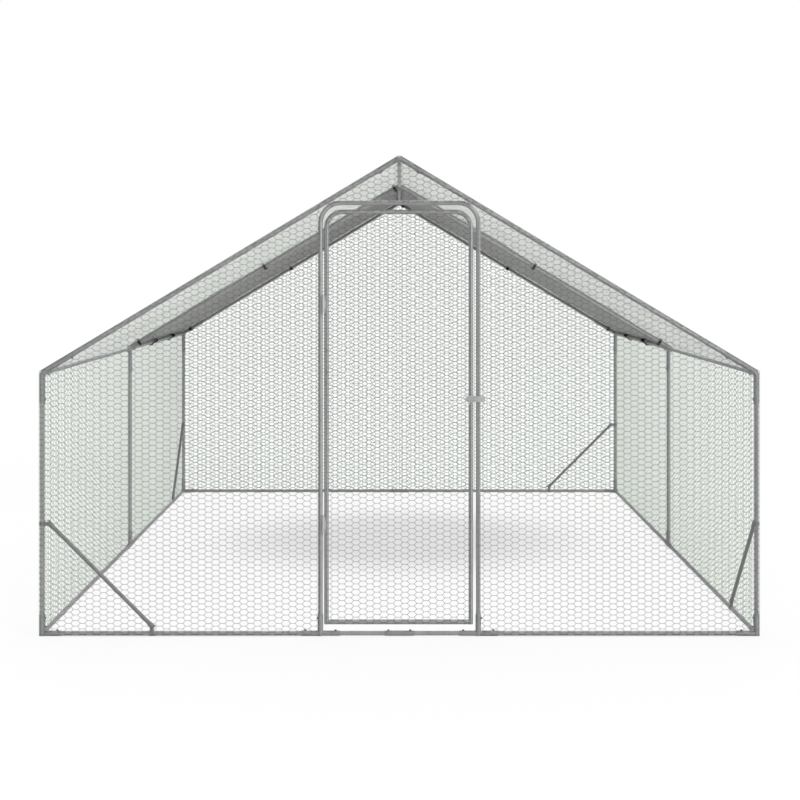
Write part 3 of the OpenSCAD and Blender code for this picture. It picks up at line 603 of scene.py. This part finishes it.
panels = {
    "skin": 0.0104,  # the netting touches the tubes, this far out from their middle
    "foot": 0.002,
    "halfWidth": 1.5,
    "overRafter": 0.009,  # top edges of the gables, square to the slope
    "jamb": 0.331,  # edge of the front panels beside the door
    "gableHalf": 0.328,  # the panel over the door
    "gableFoot": 1.8055,
    "doorCorner": 0.039,  # cut off the door's upper corners
    "sideTop": 1.0961,
    "roofFoot": 1.7412,  # measured down the slope
    "past": 0.011,  # past the middle of the end trusses
    "seam": 0.0005,  # half the gap where two panels meet
}


def gableHeight(x):
    return run["ridge"] + panels["overRafter"] / cos(run["pitch"]) - abs(x) * tan(run["pitch"])


def handed(ring, side):
    # a ring drawn for the right, on its own side and still counter-clockwise
    turned = [(side * x, z) for x, z in ring]
    return turned if side > 0 else turned[::-1]


def hangFront():
    corner = (0, run["front"] - panels["skin"], 0)
    wide, jamb, foot = panels["halfWidth"], panels["jamb"], panels["foot"]
    for side, name in ((-1, "front_left_net"), (1, "front_right_net")):
        ring = [(wide, foot), (wide, gableHeight(wide)), (jamb, gableHeight(jamb)), (jamb, foot)]
        net = weaveNet(name + "_wire", handed(ring, side), "frontWire")
        hangNet(net, corner, (1, 0, 0), (0, 0, 1), "run_frame", name)

    half, foot = panels["gableHalf"], panels["gableFoot"]
    shoulder = gableHeight(half)
    ring = [(-half, foot), (half, foot), (half, shoulder), (0, gableHeight(0)), (-half, shoulder)]
    net = weaveNet("front_gable_net_wire", ring, "frontWire")
    hangNet(net, corner, (1, 0, 0), (0, 0, 1), "run_frame", "front_gable_net")

    low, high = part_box("door_net")
    cut = panels["doorCorner"]
    ring = [(low.x, low.z), (high.x, low.z), (high.x, high.z - cut)]
    ring += [(high.x - cut, high.z), (low.x + cut, high.z), (low.x, high.z - cut)]
    net = weaveNet("door_net_wire", ring, "frontWire")
    hangNet(net, corner, (1, 0, 0), (0, 0, 1), "door_leaf", "door_net")
    print("front and door netting hung")


# the sides and the roof, a bay at a time, with the rolls running along the run
def hangBays(side, hand):
    past, seam = panels["past"], panels["seam"]
    bays = {
        "front": (run["front"] - past, run["middle"] - seam),
        "back": (run["middle"] + seam, run["back"] + past),
    }
    for bay, (start, end) in bays.items():
        name = f"{hand}_side_net"
        foot, top = panels["foot"], panels["sideTop"]
        ring = [(start, foot), (end, foot), (end, top), (start, top)]
        net = weaveNet(f"{name}_{bay}_wire", ring, "wallWire")
        corner = (side * (run["halfWidth"] + panels["skin"]), 0, 0)
        hangNet(net, corner, (0, 1, 0), (0, 0, 1), "run_frame", name)

        name = f"{hand}_roof_net"
        foot = panels["roofFoot"]
        ring = [(start, seam), (end, seam), (end, foot), (start, foot)]
        net = weaveNet(f"{name}_{bay}_wire", ring, "roofWire" if bay == "front" else "paintedPaleCoveredWire")
        corner = onSlope(side, 0, 0, panels["skin"])
        down = onSlope(side, 0, 1, 0) - onSlope(side, 0, 0, 0)
        hangNet(net, corner, (0, 1, 0), down, "run_frame", name)
    print(hand, "side and roof netting hung")


# the back, in two widths joined at the middle
def hangBack():
    corner = (0, run["back"] + panels["skin"], 0)
    wide, foot, seam = panels["halfWidth"], panels["foot"], panels["seam"]
    for side, hand in ((-1, "left"), (1, "right")):
        ring = [(seam, foot), (wide, foot), (wide, gableHeight(wide)), (seam, gableHeight(0))]
        net = weaveNet(f"back_net_{hand}_wire", handed(ring, side), "backWire")
        hangNet(net, corner, (1, 0, 0), (0, 0, 1), "run_frame", "back_net")
    print("back netting hung")


hangFront()
hangBays(-1, "left")
hangBays(1, "right")
hangBack()


# the cover: one sheet over the ridge, drawn down by its ties and lying on the roof netting
cover = {
    "start": -0.0025,  # edges along the run
    "end": 1.9985,
    "foot": 1.7412,  # where the cloth turns down, measured down the slope
    "edge": 0.014,  # what hangs down past the eave rail
    "bend": 0.006,
    "droop": radians(75),
    "lie": 0.0145,  # middle of the cloth, out from the rafters' middle
    "thick": 0.0012,
    "cells": (58, 67),  # from the ridge to the foot, and along the run
    "edgeCells": 4,
    "ripple": 0.0065,
    "calm": 0.22,  # the ripples die away this near a tie
    "pucker": 0.0036,
    "puckers": 7,  # round a tie
    "puckerReach": (0.012, 0.30),
    "crown": 0.004,  # the ridge fold is flattened by this much
    "crownReach": 0.03,
    "hem": 0.030,
    "hole": 0.0062,  # radius under an eyelet
}

tie = {
    "sleeve": 0.011,  # radius of the tube that a tie goes round
    "bare": 0.0095,
    "fromRidge": 0.030,  # ties next to the ridge and the eaves
    "fromEave": 0.060,
    "cord": 0.005,
    "swell": 0.0008,  # the plaited sheath, past the cord's own radius
    "gap": 0.0003,
    "slack": 0.004,
    "apart": (0.0026, 0.0034),  # of the two cords from their middle, in the eyelet and round the tube
    "coverTop": 0.0151,
    "ball": 0.022,
    "mouth": 0.93,  # where the ball is bored, and how deep, as shares of its radius
    "bore": 0.45,
    "leave": [(0.0012, -0.004, 0.002), (0.00208, -0.0115, 0.0075)],  # out of the ball
    "turns": (38, 62, 90, 120, 150, 180, 210, 240, 270, 300, 322),  # round the tube, in degrees
    "eyeletTurn": 50,  # up to here the cords lie close
    "hook": [(0.0062, -0.0085, -0.0098), (0.0090, 0.0005, -0.0102), (0.0068, 0.0100, -0.0066)],
    "tip": (0.0129, -0.0046),
}

# side, place along the run, place down the slope, tube radius and way into the bay
rafterTies = [
    (-1, run["middle"], tie["fromRidge"], tie["sleeve"], 1),
    (1, run["back"], tie["fromRidge"], tie["sleeve"], -1),
]
for hand in (-1, 1):
    for row, way in ((run["middle"], 1), (run["back"], -1)):
        rafterTies.append((hand, row, run["slopeLength"] / 2, tie["bare"], way))
        rafterTies.append((hand, row, run["slopeLength"] - tie["fromEave"], tie["sleeve"], way))
railTies = [(hand, run["middle"] + run["bay"] * third / 3) for hand in (-1, 1) for third in (1, 2)]


def tieSizes(tubeRadius, lift):
    # radius and middle of the loop, and how far the ball and the eyelet stand into the bay
    top = tie["coverTop"] + lift + tie["slack"]
    radius = (tubeRadius + tie["gap"] + top + tie["cord"]) / 2
    middle = (top - tubeRadius - tie["gap"]) / 2
    reach = radius + tie["cord"] / 2 + tie["gap"] + tie["ball"] / 2
    eyelet = sqrt(radius ** 2 - (cover["lie"] + lift - middle) ** 2)
    return radius, middle, sqrt(reach ** 2 - middle ** 2), eyelet


def tieFrames():
    # each tie's own axes: X along its tube, Y into the covered bay, Z square to the slope
    lean, rise = cos(run["pitch"]), sin(run["pitch"])
    for side, y, down, tubeRadius, way in rafterTies:
        axes = Matrix(((side * lean, 0, side * rise), (0, way, 0), (-rise, 0, lean)))
        yield axes, onSlope(side, y, down, 0), tubeRadius, 0.0
    for side, y in railTies:
        axes = Matrix(((0, -side * lean, side * rise), (1, 0, 0), (0, rise, lean)))
        yield axes, onSlope(side, y, run["railDown"], -run["railSunk"]), tie["bare"], run["railSunk"]


def tieSpots():
    # where the eyelets lie on the flat sheet: across from the fold, and along the run
    spots = []
    fold = cover["lie"] * tan(run["pitch"])
    for side, y, down, tubeRadius, way in rafterTies:
        inwards = tieSizes(tubeRadius, 0.0)[3]
        spots.append((side * (down + fold), y + way * inwards))
    for side, y in railTies:
        inwards = tieSizes(tie["bare"], run["railSunk"])[3]
        spots.append((side * (run["railDown"] - inwards + fold), y))
    return spots


def sheetLift(across, along, spots):
    # soft ripples that die away at the ties, and short puckers that run out from them
    near = min(hypot(across - spot[0], along - spot[1]) for spot in spots)
    ease = min(1.0, near / cover["calm"]) ** 2
    slow = noise.noise(Vector((across * 2.3, along * 2.9, 4.2)))
    quick = noise.noise(Vector((across * 6.1, along * 5.2, 1.7)))
    lift = cover["ripple"] * max(0.0, slow + 0.5 * quick + 0.35) * ease
    first, last = cover["puckerReach"]
    for spot in spots:
        away = Vector((across - spot[0], along - spot[1]))
        if first < away.length < last:
            turn = Vector((1, 0)).angle_signed(away)
            fold = 0.5 + 0.5 * cos(turn * cover["puckers"] + spot[0] * 5)
            lift += cover["pucker"] * fold * (away.length - first) * 8 * (1 - away.length / last) ** 2
    return lift


def turnDown(past):
    # how far the cloth goes on down the slope and sinks, past the line where it turns down
    turn = min(past / cover["bend"], cover["droop"])
    rest = past - turn * cover["bend"]
    onwards = cover["bend"] * sin(turn) + rest * cos(turn)
    sunk = cover["bend"] * (1 - cos(turn)) + rest * sin(turn)
    return onwards, sunk


def flatSheet(slope, half, deep):
    # even cells down to the foot of the slope, and narrow ones where the cloth turns down
    clearAll()
    count, rows = cover["cells"]
    narrow = cover["edgeCells"]
    bpy.ops.mesh.primitive_grid_add(x_subdivisions=2 * (count + narrow), y_subdivisions=rows, size=2)
    sheet = bpy.context.object
    sheet.name = "roof_cover_cloth"
    for vertex in sheet.data.vertices:
        column = round(abs(vertex.co.x) * (count + narrow))
        across = slope * min(column, count) / count + cover["edge"] * max(0, column - count) / narrow
        vertex.co = (across if vertex.co.x > 0 else -across, vertex.co.y * deep / 2, 0)
    layMap(sheet, (-half, -deep / 2), (half, deep / 2))
    return sheet


def partHem(sheet, half, deep):
    # the hem is the outer row of cells, doubled over
    fromAcross = half - cover["hem"]
    fromAlong = deep / 2 - cover["hem"]
    pickFaces(sheet, lambda face: abs(face.center.x) > fromAcross or abs(face.center.y) > fromAlong)
    bpy.ops.mesh.duplicate()
    bpy.ops.mesh.separate(type="SELECTED")
    bpy.ops.object.mode_set(mode="OBJECT")
    hem = next(piece for piece in bpy.context.selected_objects if piece != sheet)
    hem.name = "roof_cover_hem"
    return hem


def layOnRoof(piece, extra, slope, fold, spots):
    # folded over the ridge and laid down the slopes
    middle = (cover["start"] + cover["end"]) / 2
    for vertex in piece.data.vertices:
        across, along = vertex.co.x, vertex.co.y + middle
        side = 1 if across > 0 else -1
        out = cover["lie"] + extra + sheetLift(across, along, spots)
        crown = cover["crown"] * max(0.0, 1 - abs(across) / cover["crownReach"]) ** 2
        onwards, sunk = turnDown(max(0.0, abs(across) - slope))
        place = onSlope(side, along, min(abs(across), slope) - fold + onwards, out - sunk)
        if abs(across) < 1e-6:
            place.x = 0
            place.z = run["ridge"] + out / cos(run["pitch"])
        vertex.co = place - Vector((0, 0, crown))
    cloth = piece.modifiers.new("cloth", "SOLIDIFY")
    cloth.thickness = cover["thick"]
    cloth.offset = 0
    applyAll(piece)


def partSides(piece):
    # on the map the upper side takes the left half, and the underside the right half
    spots = piece.data.uv_layers["OFBake"].data
    for face in piece.data.polygons:
        start = 0.0 if face.normal.z > 0 else 0.5
        for corner in face.loop_indices:
            spots[corner].uv.x = spots[corner].uv.x / 2 + start


def punchEyelets(piece):
    punches = []
    for axes, place, tubeRadius, lift in tieFrames():
        inwards = tieSizes(tubeRadius, lift)[3]
        spot = place + axes @ Vector((0, inwards, cover["lie"] + lift))
        size = {"vertices": 20, "radius": cover["hole"], "depth": 0.02}
        clearAll()
        bpy.ops.mesh.primitive_cylinder_add(**size, location=spot, rotation=axes.to_euler())
        punches.append(bpy.context.object)
    punch = joinAll(punches)
    holes = piece.modifiers.new("holes", "BOOLEAN")
    holes.operation = "DIFFERENCE"
    holes.object = punch
    applyAll(piece)
    bpy.data.objects.remove(punch)


def makeCover():
    fold = cover["lie"] * tan(run["pitch"])  # the cloth lies above the rafters, so its fold is further up
    slope = cover["foot"] + fold
    half = slope + cover["edge"]
    deep = cover["end"] - cover["start"]
    sheet = flatSheet(slope, half, deep)
    hem = partHem(sheet, half, deep)
    spots = tieSpots()
    for piece, extra in ((sheet, 0.0), (hem, cover["thick"] * 1.02)):
        layOnRoof(piece, extra, slope, fold, spots)
        partSides(piece)
        punchEyelets(piece)
        pickOnly(piece)
        bpy.ops.object.shade_smooth_by_angle(angle=radians(40))
        wear(piece, "cover")
        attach(piece, "run_frame")
    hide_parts("roof_cover")
    print("cover laid,", round(2 * half, 3), "by", round(deep, 3), "m flat")


# an elastic loop: doubled round the tube, up through the eyelet, and hooked under the ball
def tieRoute(tubeRadius, lift):
    radius, middle, ball = tieSizes(tubeRadius, lift)[:3]
    radius += tie["swell"]
    close, wide = tie["apart"]
    half = [(x, ball + y, z) for x, y, z in tie["leave"]]
    for degrees in tie["turns"]:
        turn = radians(degrees)
        apart = close if degrees < tie["eyeletTurn"] else wide
        half.append((apart, radius * cos(turn), middle + radius * sin(turn)))
    half += [(x, ball + y, z) for x, y, z in tie["hook"]]
    onwards, sunk = tie["tip"]
    return half + [(0, ball + onwards, sunk)] + [(-x, y, z) for x, y, z in reversed(half)]


def makeCord(axes, place, route):
    clearAll()
    bpy.ops.curve.primitive_nurbs_path_add()
    cord = bpy.context.object
    cord.data.splines.clear()
    spline = cord.data.splines.new("NURBS")
    spline.points.add(len(route) - 1)
    for point, spot in zip(spline.points, route):
        point.co = (*(place + axes @ Vector(spot)), 1)
    spline.order_u = 4
    spline.use_endpoint_u = True
    cord.data.resolution_u = 4
    cord.data.bevel_depth = tie["cord"] / 2 + tie["swell"]
    cord.data.bevel_resolution = 2
    cord.data.use_fill_caps = True
    bpy.ops.object.convert(target="MESH")
    return cord


def makeBall(axes, place):
    # a moulded ball, bored towards its tube for the cord
    radius = tie["ball"] / 2
    clearAll()
    bpy.ops.mesh.primitive_uv_sphere_add(segments=20, ring_count=14, radius=radius)
    ball = bpy.context.object
    pickFaces(ball, lambda face: face.center.z > radius * tie["mouth"])
    bpy.ops.mesh.extrude_region_move(TRANSFORM_OT_translate={"value": (0, 0, -radius * tie["bore"])})
    bpy.ops.object.mode_set(mode="OBJECT")
    turned = axes.to_4x4() @ Matrix.Rotation(radians(90), 4, "X")
    for vertex in ball.data.vertices:
        vertex.co = place + turned.to_3x3() @ vertex.co
    return ball


def makeTies():
    cords, balls = [], []
    for axes, place, tubeRadius, lift in tieFrames():
        cords.append(makeCord(axes, place, tieRoute(tubeRadius, lift)))
        inwards = tieSizes(tubeRadius, lift)[2]
        balls.append(makeBall(axes, place + axes @ Vector((0, inwards, 0))))
    for pieces, name, finish in ((cords, "bungee_cords", "tie"), (balls, "bungee_ball_set", "ball")):
        whole = joinAll(pieces)
        whole.name = name
        bpy.ops.object.mode_set(mode="EDIT")
        bpy.ops.mesh.select_all(action="SELECT")
        bpy.ops.mesh.normals_make_consistent(inside=False)
        bpy.ops.object.mode_set(mode="OBJECT")
        bpy.ops.object.shade_smooth_by_angle(angle=radians(50))
        wear(whole, finish)
        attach(whole, "run_frame")
        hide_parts("bungee_loops" if finish == "tie" else "bungee_balls")
    print("ties made:", len(cords))


makeCover()
makeTies()
